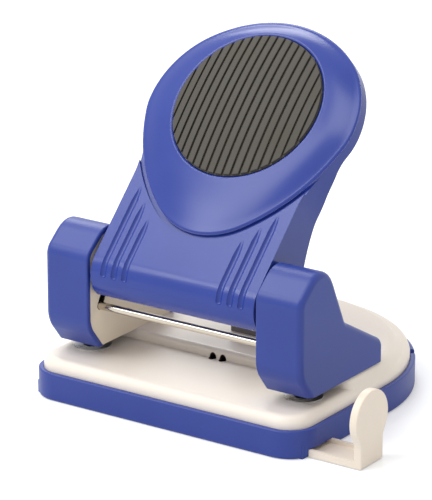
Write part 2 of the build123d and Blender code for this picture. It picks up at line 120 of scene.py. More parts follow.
handleBlue = finishMaterial({
    "name": "handleBlue",
    "dark": (0.017, 0.042, 0.285, 1), "light": (0.020, 0.047, 0.305, 1), "patch": 55,
    "rough": (0.22, 0.27), "grain": 2600, "bump": 0.08, "depth": 0.00004, "specular": 0.46,
})
columnBlue = finishMaterial({
    "name": "columnBlue",
    "dark": (0.019, 0.044, 0.275, 1), "light": (0.023, 0.050, 0.295, 1), "patch": 60,
    "rough": (0.33, 0.40), "grain": 3200, "bump": 0.15, "depth": 0.00005, "specular": 0.45,
})
creamPaint = finishMaterial({
    "name": "creamPaint",
    "dark": (0.80, 0.75, 0.69, 1), "light": (0.83, 0.78, 0.725, 1), "patch": 30,
    "rough": (0.30, 0.40), "grain": 900, "bump": 0.10, "depth": 0.00004,
})
creamPlastic = finishMaterial({
    "name": "creamPlastic",
    "dark": (0.80, 0.725, 0.635, 1), "light": (0.84, 0.765, 0.675, 1), "patch": 50,
    "rough": (0.36, 0.46), "grain": 2400, "bump": 0.12, "depth": 0.00004,
})
gripRubber = finishMaterial({
    "name": "gripRubber",
    "dark": (0.054, 0.050, 0.043, 1), "light": (0.067, 0.062, 0.053, 1), "patch": 80,
    "rough": (0.55, 0.70), "grain": 3000, "bump": 0.3, "depth": 0.00006, "specular": 0.4,
})
# painted shade: a darker copy of the grip rubber for the groove floors, standing in for the
# shade in the grooves
gripGrooveShade = finishMaterial({
    "name": "gripGrooveShade",
    "dark": (0.012, 0.011, 0.009, 1), "light": (0.017, 0.016, 0.013, 1), "patch": 80,
    "rough": (0.75, 0.9), "grain": 3000, "bump": 0.3, "depth": 0.00006, "specular": 0.15,
})
stopRubber = finishMaterial({
    "name": "stopRubber",
    "dark": (0.16, 0.145, 0.15, 1), "light": (0.19, 0.175, 0.18, 1), "patch": 90,
    "rough": (0.60, 0.75), "grain": 2600, "bump": 0.3, "depth": 0.00005, "specular": 0.35,
})
platedSteel = finishMaterial({
    "name": "platedSteel",
    "dark": (0.60, 0.53, 0.44, 1), "light": (0.68, 0.61, 0.51, 1), "patch": 120,
    "rough": (0.12, 0.20), "grain": 1800, "bump": 0.05, "depth": 0.00003, "metal": 1.0,
    "stretch": (0.05, 1, 1),
})
groundSteel = finishMaterial({
    "name": "groundSteel",
    "dark": (0.48, 0.48, 0.49, 1), "light": (0.60, 0.60, 0.61, 1), "patch": 200,
    "rough": (0.25, 0.38), "grain": 2600, "bump": 0.12, "depth": 0.00004, "metal": 1.0,
})
bracketPaint = finishMaterial({
    "name": "bracketPaint",
    "dark": (0.82, 0.735, 0.60, 1), "light": (0.85, 0.765, 0.63, 1), "patch": 30,
    "rough": (0.32, 0.42), "grain": 900, "bump": 0.10, "depth": 0.00004,
})
darkSteel = finishMaterial({
    "name": "darkSteel",
    "dark": (0.028, 0.025, 0.022, 1), "light": (0.045, 0.040, 0.035, 1), "patch": 200,
    "rough": (0.35, 0.5), "grain": 2600, "bump": 0.12, "depth": 0.00004, "metal": 0.6,
})


def calc(nodes, links, how, first, second=0.0):
    node = nodes.new("ShaderNodeMath")
    node.operation = how
    for socket, value in zip(node.inputs, (first, second)):
        if isinstance(value, float):
            socket.default_value = value
        else:
            links.new(value, socket)
    return node.outputs[0]


def localAxes(nodes, links, centre, turn):
    coords = nodes.new("ShaderNodeTexCoord")
    mapping = nodes.new("ShaderNodeMapping")
    mapping.vector_type = "TEXTURE"
    mapping.inputs["Location"].default_value = [part * mm for part in centre]
    mapping.inputs["Rotation"].default_value = (math.radians(turn), 0, 0)
    split = nodes.new("ShaderNodeSeparateXYZ")
    links.new(coords.outputs["Object"], mapping.inputs["Vector"])
    links.new(mapping.outputs["Vector"], split.inputs["Vector"])
    return split.outputs


def reachOf(nodes, links, first, second):
    squares = [calc(nodes, links, "MULTIPLY", part, part) for part in (first, second)]
    return calc(nodes, links, "SQRT", calc(nodes, links, "ADD", *squares))


# painted shade: bores, slots and the brackets' hidden feet get a dark colour that stands in for
# the shade inside them
paintedShadeSet = {
    "slotCentre": (0, -5.996, 31.324), "slotTurn": -28.0, "slotHalf": 1.5, "slotReach": 1.42,
    "footX": 33.46, "sightCentre": (0, 12.0, 13.2), "sightTurn": 45.0, "sightX": 1.9,
    "sightReach": 1.25, "paintedShadeColour": (0.022, 0.017, 0.012, 1),
}
# the sockets of a mix node share their names, so its colour sockets go by number
mixSockets = {"factor": 0, "under": 6, "over": 7, "colour": 2}


# painted shade: a mask over the bracket's slot and its feet beyond the plate, filled with the
# dark colour as if they lay in shadow
def slotAndFootShade(nodes, links):
    s = paintedShadeSet
    x, across, along = localAxes(nodes, links, s["slotCentre"], s["slotTurn"])
    length = calc(nodes, links, "ABSOLUTE", along)
    past = calc(nodes, links, "SUBTRACT", length, s["slotHalf"] * mm)
    reach = reachOf(nodes, links, across, calc(nodes, links, "MAXIMUM", past, 0.0))
    slot = calc(nodes, links, "LESS_THAN", reach, s["slotReach"] * mm)
    aside = calc(nodes, links, "ABSOLUTE", x)
    foot = calc(nodes, links, "GREATER_THAN", aside, s["footX"] * mm)
    return calc(nodes, links, "MAXIMUM", slot, foot)


# painted shade: a mask over the walls of the plate's two small sight holes, filled with the dark
# colour as if they lay in shadow
def sightBoreShade(nodes, links):
    s = paintedShadeSet
    x, across, _ = localAxes(nodes, links, s["sightCentre"], s["sightTurn"])
    width = calc(nodes, links, "ABSOLUTE", x)
    aside = calc(nodes, links, "SUBTRACT", width, s["sightX"] * mm)
    reach = reachOf(nodes, links, aside, across)
    return calc(nodes, links, "LESS_THAN", reach, s["sightReach"] * mm)


# mixes a dark painted shade over a material's paint wherever the mask says so
def paintShadeInside(material, where):
    tree = material.node_tree
    shader = tree.nodes["Principled BSDF"]
    paint = shader.inputs["Base Color"].links[0].from_socket
    blend = tree.nodes.new("ShaderNodeMix")
    blend.data_type = "RGBA"
    blend.inputs[mixSockets["over"]].default_value = paintedShadeSet["paintedShadeColour"]
    tree.links.new(where(tree.nodes, tree.links), blend.inputs[mixSockets["factor"]])
    tree.links.new(paint, blend.inputs[mixSockets["under"]])
    tree.links.new(blend.outputs[mixSockets["colour"]], shader.inputs["Base Color"])


paintShadeInside(bracketPaint, slotAndFootShade)
paintShadeInside(creamPaint, sightBoreShade)
print("materials made")

slotLooks = {
    "blue_plastic": handleBlue, "cream_paint": creamPaint, "cream_plastic": creamPlastic,
    "grip_rubber": gripRubber, "stop_rubber": stopRubber, "plated_steel": platedSteel,
    "tool_steel": groundSteel,
}
slotOf = {row["node"]: row["material_slot"] for row in frame["record"]["subparts"]}


def lookOf(name):
    if "column" in name or name == "chip_tray":
        return columnBlue
    if "clips" in name:
        return darkSteel
    if name.endswith("bracket"):
        return bracketPaint
    return slotLooks[slotOf[name]]


for nodeName, node in frame["nodes"].items():
    node.data.materials.clear()
    node.data.materials.append(lookOf(nodeName))
print("solids dressed")

# distances in mm within which corners merge or count as lying on a plane
nearSet = {"merge": 0.0005, "mirror": 0.001, "cut": 0.0001, "pick": 0.01}


def corners(geom):
    return [part for part in geom if isinstance(part, bmesh.types.BMVert)]


def sides(geom):
    return [part for part in geom if isinstance(part, bmesh.types.BMEdge)]


def everything(bm):
    return bm.verts[:] + bm.edges[:] + bm.faces[:]


def cornerAt(bm, spot):
    return min(bm.verts, key=lambda vert: (vert.co - Vector(spot)).length)


def edgesWhere(bm, test):
    return [edge for edge in bm.edges if all(test(vert.co) for vert in edge.verts)]


def newRing(grown):
    verts = corners(grown)
    return [edge for edge in sides(grown) if all(vert in verts for vert in edge.verts)]


def chain(bm, points):
    made = [bm.verts.new(point) for point in points]
    for first, second in zip(made, made[1:]):
        bm.edges.new((first, second))
    return made


def swing(bm, vert, centre, axis, angle, steps):
    turned = bmesh.ops.spin(bm, geom=[vert], cent=centre, axis=axis, angle=angle, steps=steps)
    return corners(turned["geom_last"])[0]


def heading(angle):
    return Vector((math.cos(angle), math.sin(angle)))


def tangentArc(at, way, end):
    # centre and turn of the arc that leaves a point along a way and reaches an end
    chord = Vector(end) - at
    side = Vector((-way.y, way.x))
    centre = at + side * (chord.length_squared / (2 * chord.dot(side)))
    turn = 2 * math.atan2(way.x * chord.y - way.y * chord.x, chord.dot(way))
    return centre, turn


def fillLoop(bm):
    bmesh.ops.remove_doubles(bm, verts=bm.verts[:], dist=nearSet["merge"])
    return bmesh.ops.edgeloop_fill(bm, edges=bm.edges[:])["faces"][0]


def roundCorner(bm, corner, radius, steps):
    first, second = [edge.other_vert(corner).co - corner.co for edge in corner.link_edges]
    reach = radius / math.tan(first.angle(second) / 2)
    bmesh.ops.bevel(bm, geom=[corner], offset=reach, offset_type="OFFSET", segments=steps,
                    profile=0.5, affect="VERTICES", material=-1)


def roundEdges(bm, edges, width, steps):
    bmesh.ops.bevel(bm, geom=edges, offset=width, offset_type="OFFSET", segments=steps,
                    profile=0.5, affect="EDGES", material=-1, clamp_overlap=True)


def pushOut(bm, face, way):
    pushed = bmesh.ops.extrude_face_region(bm, geom=[face])["geom"]
    bmesh.ops.translate(bm, vec=way, verts=corners(pushed))


def boxBlock(bm, low, high):
    middle = [(a + b) / 2 for a, b in zip(low, high)]
    size = [b - a for a, b in zip(low, high)]
    cube = bmesh.ops.create_cube(bm, size=1.0)
    bmesh.ops.scale(bm, vec=size, verts=cube["verts"])
    bmesh.ops.translate(bm, vec=middle, verts=cube["verts"])


def rod(bm, radius, length, segments, turn, place):
    made = bmesh.ops.create_cone(bm, cap_ends=True, segments=segments, radius1=radius,
                                 radius2=radius, depth=length)
    bmesh.ops.transform(bm, matrix=turn, verts=made["verts"])
    bmesh.ops.translate(bm, vec=place, verts=made["verts"])


def linked(bm, name):
    mesh = bpy.data.meshes.new(name)
    bm.to_mesh(mesh)
    bm.free()
    made = bpy.data.objects.new(name, mesh)
    bpy.context.scene.collection.objects.link(made)
    return made


def asObject(bm, name):
    bmesh.ops.remove_doubles(bm, verts=bm.verts[:], dist=nearSet["merge"])
    bmesh.ops.recalc_face_normals(bm, faces=bm.faces[:])
    return linked(bm, name)


def combine(base, tool, how):
    knife = base.modifiers.new("knife", "BOOLEAN")
    knife.object = tool
    knife.operation = how
    knife.solver = "EXACT"
    ready = base.evaluated_get(bpy.context.evaluated_depsgraph_get())
    mesh = bpy.data.meshes.new_from_object(ready)
    base.modifiers.clear()
    base.data = mesh
    bpy.data.objects.remove(tool)
    return base


def settle(piece, look, body, node, place=Matrix.Identity(4), sharp=32):
    bm = bmesh.new()
    bm.from_mesh(piece.data)
    bmesh.ops.transform(bm, matrix=place, verts=bm.verts[:])
    bmesh.ops.scale(bm, vec=(mm, mm, mm), verts=bm.verts[:])
    bm.to_mesh(piece.data)
    bm.free()
    piece.data.materials.clear()
    piece.data.materials.append(look)
    piece.data.shade_smooth()
    piece.data.set_sharp_from_angle(angle=math.radians(sharp))
    even = piece.modifiers.new("evenShade", "WEIGHTED_NORMAL")
    even.keep_sharp = True
    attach(piece, body)
    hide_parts(node)


# the handle is shaped lying flat, face up: x across, y from nose to head
lean = math.radians(45)
handlePlace = Matrix((
    (1, 0, 0, 0),
    (0, math.sin(lean), -math.cos(lean), -10.2),
    (0, math.cos(lean), math.sin(lean), 42.2),
    (0, 0, 0, 1),
))
handleSet = {
    "half": 30.5, "face": 5.0, "noseCentre": (4.0, -4.0), "noseSteps": 14, "lip": (-5.0, -6.0),
    "belly": (7.1, -8.6), "heel": (15.8, -16.1), "calfWay": 34.4, "calfSteps": 10,
    "waist": (40.0, -7.2), "flare": (52.0, 1.0), "lipRound": 1.5, "waistRound": 12.0,
    "flareRound": 8.0, "roundSteps": 8, "edgeRound": 1.4, "edgeSteps": 4, "wall": 2.4,
    "cheekStart": (30.5, 33.43), "cheekCentre": (58.5, 33.43), "cheekTurn": 25.41,
    "cheekSteps": 8, "cheekPick": 0.03, "blockHalf": 45.0, "blockEnd": 99.0,
    "planStart": -20.0, "planBottom": -40.0, "planTop": 12.0,
}
hollowSet = {
    "start": 3.2, "end": 61.0, "headBottom": -40.0, "bodyBottom": -41.0,
    "ribs": (-20, -12, -4, 4, 12, 20), "ribWidth": 2.0, "ribStart": -20.0, "ribEnd": 56.0,
    "ribBottom": -50.0, "ribTop": 20.0,
}
boreSet = {
    "axle": (0.849, -0.849, 2.05), "pressBar": (10.18, -4.245, 2.51), "length": 90.0,
    "segments": 32,
}
headSet = {
    "start": (0, 17.8), "groove": 1.4, "grooveFloor": 4.1, "grooveTop": 9.0,
    "islandFloor": 0.0, "islandTop": 12.0,
    "arcs": (((15, 22.9), 8), ((35, 49.6), 14), ((37.01, 55.445), 4), ((37.9, 61.5), 4),
             ((26.331, 85.431), 14), ((0, 94.6), 14)),
}
# each part of a tapered end gives how far it goes and how much of its size it keeps
fluteSet = {
    "first": 17.7, "pitch": 4.0, "ends": (21.1, 26.3, 31.5), "radius": 1.2, "lift": 0.4,
    "segments": 16, "wrap": 39.0, "wrapSteps": 6, "tip": 7.0, "tipLift": 0.12,
    "tipParts": ((0.4, 0.80), (0.35, 0.70), (0.25, 0.25)),
    "footParts": ((0.45, 0.88), (0.30, 0.72), (0.15, 0.4)),
}


def sideView(bm):
    s = handleSet
    front = bm.verts.new((0, s["noseCentre"][0], s["face"]))
    nose = (0, *s["noseCentre"])
    chin = swing(bm, front, nose, (1, 0, 0), math.radians(90), s["noseSteps"])
    lip, _, heel = chain(bm, [(0, *s["lip"]), (0, *s["belly"]), (0, *s["heel"])])
    bm.edges.new((chin, lip))
    way = heading(math.radians(s["calfWay"]))
    centre, turn = tangentArc(Vector(s["heel"]), way, s["waist"])
    waist = swing(bm, heel, (0, *centre), (1, 0, 0), turn, s["calfSteps"])
    end = s["blockEnd"]
    flare, _, top = chain(bm, [(0, *s["flare"]), (0, end, s["flare"][1]), (0, end, s["face"])])
    bm.edges.new((waist, flare))
    bm.edges.new((top, front))
    fillLoop(bm)
    for name in ("lip", "waist", "flare"):
        corner = cornerAt(bm, (0, *s[name]))
        roundCorner(bm, corner, s[name + "Round"], s["roundSteps"])
    return bm.faces[:][0]


def sideBlock():
    half = handleSet["blockHalf"]
    bm = bmesh.new()
    face = sideView(bm)
    bmesh.ops.translate(bm, vec=(-half, 0, 0), verts=bm.verts[:])
    pushOut(bm, face, (2 * half, 0, 0))
    return asObject(bm, "handle_body")


def arcRun(bm, tip, at, way, arcs, level):
    for end, steps in arcs:
        centre, turn = tangentArc(at, way, end)
        tip = swing(bm, tip, (*centre, level), (0, 0, 1), turn, steps)
        way = Matrix.Rotation(turn, 2) @ way
        at = Vector(end)


def mirrorHalf(bm):
    near = nearSet["mirror"]
    bmesh.ops.mirror(bm, geom=bm.verts[:] + bm.edges[:], matrix=Matrix.Identity(4),
                     merge_dist=near, axis="X")
    bmesh.ops.remove_doubles(bm, verts=bm.verts[:], dist=near)


def headLoop(bm, grow, level):
    at = Vector(headSet["start"])
    tip = bm.verts.new((0, at.y - grow, level))
    arcRun(bm, tip, at, Vector((1, 0)), headSet["arcs"], level)
    mirrorHalf(bm)


def headPrism(name, grow, low, high):
    bm = bmesh.new()
    headLoop(bm, grow, low)
    pushOut(bm, fillLoop(bm), (0, 0, high - low))
    return asObject(bm, name)


def planBlock():
    # straight sides that sweep out into the head
    s = handleSet
    low = s["planBottom"]
    bm = bmesh.new()
    start = s["planStart"]
    made = chain(bm, [(0, start, low), (s["half"], start, low), (*s["cheekStart"], low)])
    turn = math.radians(s["cheekTurn"])
    centre = (*s["cheekCentre"], low)
    tip = swing(bm, made[2], centre, (0, 0, 1), -turn, s["cheekSteps"])
    way = Vector((math.sin(turn), math.cos(turn)))
    arcRun(bm, tip, tip.co.xy, way, headSet["arcs"][1:], low)
    mirrorHalf(bm)
    pushOut(bm, fillLoop(bm), (0, 0, s["planTop"] - low))
    return asObject(bm, "handlePlan")


def onRim(spot):
    # whether a point is on the rim of the face, its cheeks or the front of a flank
    s = handleSet
    near = nearSet["pick"]
    x, y, z = abs(spot.x), spot.y, spot.z
    onFace = z > s["face"] - near
    ahead = y < s["belly"][0] + near and z > s["belly"][1] - near
    if abs(x - s["half"]) < near and (onFace or ahead):
        return True
    centre = Vector(s["cheekCentre"])
    astray = abs((Vector((x, y)) - centre).length - (centre.x - s["half"]))
    onCheek = astray < s["cheekPick"] and y > s["cheekStart"][1] - s["cheekPick"]
    return onFace and onCheek


def roundFront(handle):
    bm = bmesh.new()
    bm.from_mesh(handle.data)
    rim = [edge for edge in edgesWhere(bm, onRim)
           if edge.verts[0].co.x * edge.verts[1].co.x > 0]
    roundEdges(bm, rim, handleSet["edgeRound"], handleSet["edgeSteps"])
    bm.to_mesh(handle.data)
    bm.free()


def hollowTool():
    s = hollowSet
    inner = handleSet["half"] - handleSet["wall"]
    floor = handleSet["face"] - handleSet["wall"]
    tool = headPrism("headHollow", -handleSet["wall"], s["headBottom"], floor)
    bm = bmesh.new()
    boxBlock(bm, (-inner, s["start"], s["bodyBottom"]), (inner, s["end"], floor))
    tool = combine(tool, asObject(bm, "bodyHollow"), "UNION")
    bm = bmesh.new()
    half = s["ribWidth"] / 2
    for x in s["ribs"]:
        boxBlock(bm, (x - half, s["ribStart"], s["ribBottom"]),
                 (x + half, s["ribEnd"], s["ribTop"]))
    return combine(tool, asObject(bm, "ribRoom"), "DIFFERENCE")


def grooveTool():
    s = headSet
    outer = headPrism("grooveOuter", s["groove"], s["grooveFloor"], s["grooveTop"])
    island = headPrism("grooveInner", 0.0, s["islandFloor"], s["islandTop"])
    return combine(outer, island, "DIFFERENCE")


def boreTool():
    s = boreSet
    bm = bmesh.new()
    across = Matrix.Rotation(math.radians(90), 4, "Y")
    for along, depth, radius in (s["axle"], s["pressBar"]):
        rod(bm, radius, s["length"], s["segments"], across, (0, along, depth))
    return asObject(bm, "bores")


def growRing(bm, ring, size, shift):
    # carries a ring of edges on, to a new size about its own middle
    middle = sum((vert.co for edge in ring for vert in edge.verts), Vector()) / (2 * len(ring))
    grown = bmesh.ops.extrude_edge_only(bm, edges=ring)["geom"]
    bmesh.ops.scale(bm, vec=(size, size, size), space=Matrix.Translation(-middle),
                    verts=corners(grown))
    bmesh.ops.translate(bm, vec=shift, verts=corners(grown))
    return newRing(grown)


def flute(bm, x, end):
    s = fluteSet
    nose = handleSet["noseCentre"]
    circle = bmesh.ops.create_circle(bm, segments=s["segments"], radius=s["radius"])["verts"]
    bmesh.ops.transform(bm, matrix=Matrix.Rotation(math.radians(90), 4, "X"), verts=circle)
    bmesh.ops.translate(bm, vec=(x, nose[0], handleSet["face"] + s["lift"]), verts=circle)
    start = list(dict.fromkeys(edge for vert in circle for edge in vert.link_edges))
    ring = growRing(bm, start, 1.0, (0, end - s["tip"] - nose[0], 0))
    for part, size in s["tipParts"]:
        ring = growRing(bm, ring, size, (0, s["tip"] * part, s["tipLift"]))
    bmesh.ops.edgeloop_fill(bm, edges=ring)
    wrap = math.radians(s["wrap"])
    wrapped = bmesh.ops.spin(bm, geom=start, cent=(x, *nose), axis=(1, 0, 0), angle=wrap,
                             steps=s["wrapSteps"])
    ring = sides(wrapped["geom_last"])
    way = -Vector((0, *heading(wrap)))
    for part, size in s["footParts"]:
        ring = growRing(bm, ring, size, way * part)
    bmesh.ops.edgeloop_fill(bm, edges=ring)


def fluteTool():
    bm = bmesh.new()
    for number, end in enumerate(fluteSet["ends"]):
        for side in (1, -1):
            flute(bm, side * (fluteSet["first"] + fluteSet["pitch"] * number), end)
    return asObject(bm, "flutes")


def makeHandleBody():
    handle = combine(sideBlock(), planBlock(), "INTERSECT")
    roundFront(handle)
    for makeTool in (hollowTool, grooveTool, fluteTool, boreTool):
        handle = combine(handle, makeTool(), "DIFFERENCE")
    settle(handle, handleBlue, "handle", "handle_shell", handlePlace)


# the head's domed top, from a rolled rim up to a pocket for the grip
domeSet = {
    "centre": (0, 62.3), "ring": 26.6, "base": 4.9, "foot": 5.0, "top": 8.4, "rimInset": 0.16,
    "edgeReach": 1.2, "edgeRise": 0.62, "edgeSteps": 4, "bulge": 0.35, "sharp": 40,
    "loops": (0.12, 0.26, 0.42, 0.58, 0.74, 0.88, 1.0),
    "pocket": ((26.25, 8.52), (25.85, 8.50), (25.5, 8.32), (25.35, 8.1), (25.35, 6.8)),
}


def carryRing(bm, ring, placeOf):
    grown = bmesh.ops.extrude_edge_only(bm, edges=ring)["geom"]
    for vert in corners(grown):
        vert.co = placeOf(vert)
    return newRing(grown)


def makeHandleHead():
    s = domeSet
    centre = Vector(s["centre"])
    bm = bmesh.new()
    headLoop(bm, 0.0, s["base"])
    ring = bm.edges[:]
    baseX = bm.verts.layers.float.new("baseX")
    baseY = bm.verts.layers.float.new("baseY")
    for vert in bm.verts:
        vert[baseX] = vert.co.x
        vert[baseY] = vert.co.y
    bmesh.ops.edgeloop_fill(bm, edges=ring)

    def onDome(vert, inset, share, level):
        foot = Vector((vert[baseX], vert[baseY]))
        spoke = (foot - centre).normalized()
        near = foot - spoke * (s["rimInset"] + inset)
        spot = near.lerp(centre + spoke * s["ring"], share)
        return (spot.x, spot.y, level)

    def onCircle(vert, radius, level):
        spoke = (vert.co.xy - centre).normalized() * radius
        return (centre.x + spoke.x, centre.y + spoke.y, level)

    for step in range(s["edgeSteps"] + 1):
        angle = math.radians(90 * step / s["edgeSteps"])
        inset = s["edgeReach"] * (1 - math.cos(angle))
        level = s["foot"] + s["edgeRise"] * math.sin(angle)
        ring = carryRing(bm, ring, lambda vert: onDome(vert, inset, 0.0, level))
    start = s["foot"] + s["edgeRise"]
    for share in s["loops"]:
        bulge = s["bulge"] * math.sin(math.pi * share)
        level = start + (s["top"] - start) * share + bulge
        ring = carryRing(bm, ring, lambda vert: onDome(vert, s["edgeReach"], share, level))
    for radius, level in s["pocket"]:
        ring = carryRing(bm, ring, lambda vert: onCircle(vert, radius, level))
    bmesh.ops.edgeloop_fill(bm, edges=ring)
    head = asObject(bm, "handle_head")
    settle(head, handleBlue, "handle", "handle_shell", handlePlace, s["sharp"])


gripSet = {
    "centre": (0, 62.3), "radius": 25.2, "segments": 96, "bottom": 6.82, "top": 10.98,
    "crown": 176.0, "pitch": 2.89, "ribs": 18, "gap": 0.74, "depth": 0.8, "edge": 0.24,
    "edgeSteps": 2, "ribInset": 0.15, "ribSegments": 160, "cutReach": 24, "floorCut": 4,
    "ribCut": 3,
}


def crownDrop(vert):
    # how far the domed face has fallen below its middle
    crown = gripSet["crown"]
    return crown - math.sqrt(crown * crown - vert.co.x * vert.co.x - vert.co.y * vert.co.y)


def crossCuts(bm, way, step):
    reach = gripSet["cutReach"]
    for place in range(-reach, reach + 1, step):
        bmesh.ops.bisect_plane(bm, geom=everything(bm), dist=nearSet["cut"],
                               plane_co=Vector(way) * place, plane_no=way)


def gripRib(middle):
    s = gripSet
    half = (s["pitch"] - s["gap"]) / 2
    rib = bmesh.new()
    bmesh.ops.create_circle(rib, cap_ends=True, segments=s["ribSegments"],
                            radius=s["radius"] - s["ribInset"])
    for side in (1, -1):
        bmesh.ops.bisect_plane(rib, geom=everything(rib), dist=nearSet["cut"],
                               plane_co=(middle + side * half, 0, 0), plane_no=(side, 0, 0),
                               clear_outer=True)
    pushOut(rib, rib.faces[:][0], (0, 0, s["depth"]))
    bmesh.ops.recalc_face_normals(rib, faces=rib.faces[:])
    rim = edgesWhere(rib, lambda spot: spot.z > s["depth"] - nearSet["pick"])
    roundEdges(rib, rim, s["edge"], s["edgeSteps"])
    crossCuts(rib, (0, 1, 0), s["ribCut"])
    for vert in rib.verts:
        vert.co.z += s["top"] - s["depth"] - crownDrop(vert)
    return rib


def makeGrip():
    s = gripSet
    bm = bmesh.new()
    bmesh.ops.create_circle(bm, cap_ends=True, segments=s["segments"], radius=s["radius"])
    pushOut(bm, bm.faces[:][0], (0, 0, s["depth"]))
    for way in ((0, 1, 0), (1, 0, 0)):
        crossCuts(bm, way, s["floorCut"])
    for vert in bm.verts:
        raised = s["top"] - s["depth"] - crownDrop(vert)
        vert.co.z = raised if vert.co.z > s["depth"] / 2 else s["bottom"]
    floorFaces = len(bm.faces)
    for number in range(s["ribs"]):
        rib = gripRib((number - (s["ribs"] - 1) / 2) * s["pitch"])
        held = bpy.data.meshes.new("rib")
        rib.to_mesh(held)
        rib.free()
        bm.from_mesh(held)
        bpy.data.meshes.remove(held)
    bmesh.ops.translate(bm, vec=(*s["centre"], 0), verts=bm.verts[:])
    bmesh.ops.recalc_face_normals(bm, faces=bm.faces[:])
    # painted shade: the groove floors take the darker rubber copy, the ribs the plain rubber
    for number, face in enumerate(bm.faces):
        face.material_index = 1 if number < floorFaces else 0
    grip = linked(bm, "grip_ribs")
    settle(grip, gripRubber, "handle", "grip_pad", handlePlace)
    grip.data.materials.append(gripGrooveShade)


coverSet = {
    "corners": ((-1.6, 8.5), (-14, 24), (-14, 48.4), (0.1, 60.2), (11.6, 35.4), (33, 23.4),
                (33, 8.5)),
    "rounds": (0, 9.0, 4.7, 8.4, 4.0, 3.2, 0), "roundSteps": 8, "inner": 31.5, "width": 16.5,
    "wall": 1.6, "outerRound": 2.0, "outerSteps": 5, "innerRound": 0.6, "innerSteps": 3,
    "deck": 16.5,
}


def makeCover(side):
    s = coverSet
    inner = s["inner"] + nearSet["pick"]
    outer = s["inner"] + s["width"] - nearSet["pick"]
    bm = bmesh.new()
    made = chain(bm, [(s["inner"], y, z) for y, z in s["corners"]])
    bm.edges.new((made[-1], made[0]))
    bmesh.ops.edgeloop_fill(bm, edges=bm.edges[:])
    for spot, radius in zip(s["corners"], s["rounds"]):
        if radius:
            roundCorner(bm, cornerAt(bm, (s["inner"], *spot)), radius, s["roundSteps"])
    pushOut(bm, bm.faces[:][0], (s["width"], 0, 0))
    bmesh.ops.recalc_face_normals(bm, faces=bm.faces[:])
    rim = edgesWhere(bm, lambda spot: spot.x > outer)
    roundEdges(bm, rim, s["outerRound"], s["outerSteps"])
    rim = edgesWhere(bm, lambda spot: spot.x < inner)
    roundEdges(bm, rim, s["innerRound"], s["innerSteps"])
    flat = [face for face in bm.faces if all(vert.co.x < inner for vert in face.verts)]
    bmesh.ops.inset_region(bm, faces=flat, thickness=s["wall"] - s["innerRound"],
                           use_even_offset=True)
    pushOut(bm, flat[0], (s["width"] - s["wall"], 0, 0))
    bmesh.ops.delete(bm, geom=flat, context="FACES_ONLY")
    cut = bmesh.ops.bisect_plane(bm, geom=everything(bm), dist=nearSet["cut"],
                                 plane_co=(0, 0, s["deck"]), plane_no=(0, 0, 1),
                                 clear_inner=True)
    bmesh.ops.holes_fill(bm, edges=sides(cut["geom_cut"]), sides=0)
    bmesh.ops.scale(bm, vec=(side, 1, 1), verts=bm.verts[:])
    name = "right" if side > 0 else "left"
    cover = asObject(bm, name + "_cover")
    settle(cover, columnBlue, "base", name + "_column_cover")


plateSet = {
    "half": 49.8, "front": -18.3, "corner": 8.3, "cornerSteps": 10, "centre": 32.0,
    "rearSteps": 48, "bottom": 5.0, "table": 13.2, "edge": 2.85, "edgeSteps": 6, "stepY": 12.0,
    "deck": 16.5, "foot": 10.4, "crestHalf": 47.4, "crestCentre": 26.0, "crestRound": 1.6,
    "crestSteps": 4, "stepCorner": 3.0, "stepSteps": 5, "stepHollow": 1.5, "hollowSteps": 5,
    "stepPick": 0.02, "uprightLeast": 1.0, "sheet": 1.2, "holeDepth": 12.0, "dieX": 40.0,
    "dieRadius": 4.51, "dieSegments": 40, "sightX": 1.9, "sightRadius": 1.2,
    "sightSegments": 24, "sightTilt": 45.0,
}


def plateOutline(bm, half, front, level):
    # a straight front and sides, and a half-round rear
    s = plateSet
    made = chain(bm, [(-half, s["centre"], level), (-half, front, level), (half, front, level),
                      (half, s["centre"], level)])
    swing(bm, made[3], (0, s["centre"], level), (0, 0, 1), math.pi, s["rearSteps"])
    fillLoop(bm)


def tableBlock(shrink):
    s = plateSet
    half = s["half"] - shrink
    front = s["front"] + shrink
    top = s["table"] - shrink
    low = s["bottom"] if shrink == 0 else 0.0
    bm = bmesh.new()
    plateOutline(bm, half, front, low)
    for x in (-half, half):
        corner = cornerAt(bm, (x, front, low))
        roundCorner(bm, corner, s["corner"] - shrink, s["cornerSteps"])
    pushOut(bm, bm.faces[:][0], (0, 0, top - low))
    bmesh.ops.recalc_face_normals(bm, faces=bm.faces[:])
    rim = edgesWhere(bm, lambda spot: spot.z > top - nearSet["pick"])
    roundEdges(bm, rim, s["edge"] - shrink, s["edgeSteps"])
    return asObject(bm, "plate_table")


def deckBlock(shrink):
    s = plateSet
    half = s["half"] - shrink
    front = s["stepY"] + shrink
    top = s["deck"] - shrink
    bm = bmesh.new()
    plateOutline(bm, half, front, s["foot"])
    crest = (s["crestHalf"] - shrink) / half

    def onCrest(vert):
        y = front
        if vert.co.y > front + nearSet["pick"]:
            y = s["crestCentre"] + (vert.co.y - s["centre"]) * crest
        return (vert.co.x * crest, y, top)

    bmesh.ops.edgeloop_fill(bm, edges=carryRing(bm, bm.edges[:], onCrest))
    bmesh.ops.recalc_face_normals(bm, faces=bm.faces[:])
    if shrink == 0:
        upright = [edge for edge in edgesWhere(bm, lambda spot: spot.y < front + nearSet["pick"])
                   if abs(edge.verts[0].co.z - edge.verts[1].co.z) > s["uprightLeast"]]
        roundEdges(bm, upright, s["stepCorner"], s["stepSteps"])
        rim = edgesWhere(bm, lambda spot: spot.z > top - nearSet["pick"])
        roundEdges(bm, rim, s["crestRound"], s["crestSteps"])
    return asObject(bm, "plate_deck")


def plateShape(shrink):
    return combine(tableBlock(shrink), deckBlock(shrink), "UNION")


def hollowFoot(plate):
    # the bend at the foot of the step
    s = plateSet
    near = s["stepPick"]
    bm = bmesh.new()
    bm.from_mesh(plate.data)
    foot = edgesWhere(bm, lambda spot: (abs(spot.y - s["stepY"]) < near and
                                        abs(spot.z - s["table"]) < near))
    roundEdges(bm, foot, s["stepHollow"], s["hollowSteps"])
    bm.to_mesh(plate.data)
    bm.free()


